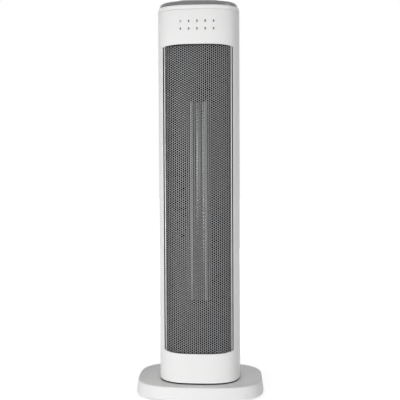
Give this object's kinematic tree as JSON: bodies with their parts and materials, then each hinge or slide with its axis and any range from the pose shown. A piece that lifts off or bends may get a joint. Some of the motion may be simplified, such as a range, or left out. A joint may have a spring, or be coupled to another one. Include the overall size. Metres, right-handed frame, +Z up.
{
  "type": "tower heater",
  "caption": "Slim upright fan heater with a perforated front grille on a low rounded base; it swings on its base and has push buttons on top.",
  "frame": {"origin": "on the floor under the middle of the base", "axes": "+Z up along the tower, -Y towards the front grille, +X to the right of someone who looks at the front"},
  "size_m": [0.24, 0.16, 0.73],
  "materials": {
    "white_plastic": "fine satin, warm white",
    "black_gloss": "polished near-black",
    "grey_plastic": "satin light grey",
    "black_plastic": "matt black",
    "grille_metal": "perforated sheet with a silver finish",
    "aluminium": "bare tubes and fin strip",
    "steel": "zinc-plated",
    "natural_plastic": "uncoloured acetal",
    "light_plastic": "smoked clear plastic",
    "board_green": "solder-resist green",
    "rubber": "soft black"
  },
  "bodies": {
    "base": {"base_cover": "white_plastic", "base_plate": "black_plastic", "base_screw_1": "steel", "base_screw_2": "steel", "base_screw_3": "steel", "base_screw_4": "steel", "foot_front_left": "rubber", "foot_front_right": "rubber", "foot_rear_left": "rubber", "foot_rear_right": "rubber", "cord_gland": "rubber", "tip_switch": "black_plastic", "pivot_post": "natural_plastic", "bearing_ring": "natural_plastic", "fixed_gear": "natural_plastic"},
    "tower": {"blower_plate_lower": "black_plastic", "blower_plate_upper": "black_plastic", "button_board": "board_green", "control_console": "grey_plastic", "cutoff_panel": "black_plastic", "element_fins_left": "aluminium", "element_fins_middle": "aluminium", "element_fins_right": "aluminium", "element_tube_left": "aluminium", "element_tube_right": "aluminium", "fan_bearing": "rubber", "fan_motor": "steel", "front_grille": "grille_metal", "front_housing": "white_plastic", "grip_cup": "white_plastic", "heater_bracket_lower": "black_plastic", "heater_bracket_upper": "black_plastic", "heater_panel": "black_plastic", "indicator_board": "board_green", "light_guide": "light_plastic", "power_board": "board_green", "rear_housing": "white_plastic", "rear_screw_1": "steel", "rear_screw_2": "steel", "rear_screw_3": "steel", "rear_screw_4": "steel", "rocker_bezel": "black_plastic", "scroll_panel": "black_plastic", "swing_motor": "steel", "thermal_cutout": "steel", "top_cap": "white_plastic", "top_trim": "black_gloss", "tower_floor": "black_plastic"},
    "pinion": {"swing_pinion": "natural_plastic"},
    "fan": {"fan_wheel": "black_plastic", "fan_shaft": "steel"},
    "power_rocker": {"rocker": "black_plastic"},
    "plunger": {"tip_plunger": "natural_plastic"},
    "key_1": {"button_1": "grey_plastic"},
    "key_2": {"button_2": "grey_plastic"},
    "key_3": {"button_3": "grey_plastic"},
    "key_4": {"button_4": "grey_plastic"},
    "key_5": {"button_5": "grey_plastic"}
  },
  "joints": [
    {"name": "tower_swing", "type": "hinge", "parent": "base", "child": "tower", "pos_m": [0, 0, 0.028], "axis": [0, 0, 1], "range_deg": [-35, 35]},
    {"name": "pinion_spin", "type": "hinge", "parent": "tower", "child": "pinion", "pos_m": [0.03, 0, 0.0318], "axis": [0, 0, 1], "range_deg": [-106, 106]},
    {"name": "fan_spin", "type": "hinge", "parent": "tower", "child": "fan", "pos_m": [0, 0.013, 0.152], "axis": [0, 0, 1], "continuous": true},
    {"name": "rocker_tilt", "type": "hinge", "parent": "tower", "child": "power_rocker", "pos_m": [0, 0.0595, 0.073], "axis": [-1, 0, 0], "range_deg": [0, 18]},
    {"name": "plunger_drop", "type": "slide", "parent": "base", "child": "plunger", "axis": [0, 0, -1], "range_m": [0, 0.004], "stiffness_N_per_m": 30, "springref_m": 0.004},
    {"name": "button_1_press", "type": "slide", "parent": "tower", "child": "key_1", "axis": [0, 0, -1], "range_m": [0, 0.0012], "stiffness_N_per_m": 700, "springref_m": -0.0003},
    {"name": "button_2_press", "type": "slide", "parent": "tower", "child": "key_2", "axis": [0, 0, -1], "range_m": [0, 0.0012], "stiffness_N_per_m": 700, "springref_m": -0.0003},
    {"name": "button_3_press", "type": "slide", "parent": "tower", "child": "key_3", "axis": [0, 0, -1], "range_m": [0, 0.0012], "stiffness_N_per_m": 700, "springref_m": -0.0003},
    {"name": "button_4_press", "type": "slide", "parent": "tower", "child": "key_4", "axis": [0, 0, -1], "range_m": [0, 0.0012], "stiffness_N_per_m": 700, "springref_m": -0.0003},
    {"name": "button_5_press", "type": "slide", "parent": "tower", "child": "key_5", "axis": [0, 0, -1], "range_m": [0, 0.0012], "stiffness_N_per_m": 700, "springref_m": -0.0003}
  ],
  "couplings": [
    {"joint": "pinion_spin", "follows": "tower_swing", "ratio": 3}
  ]
}
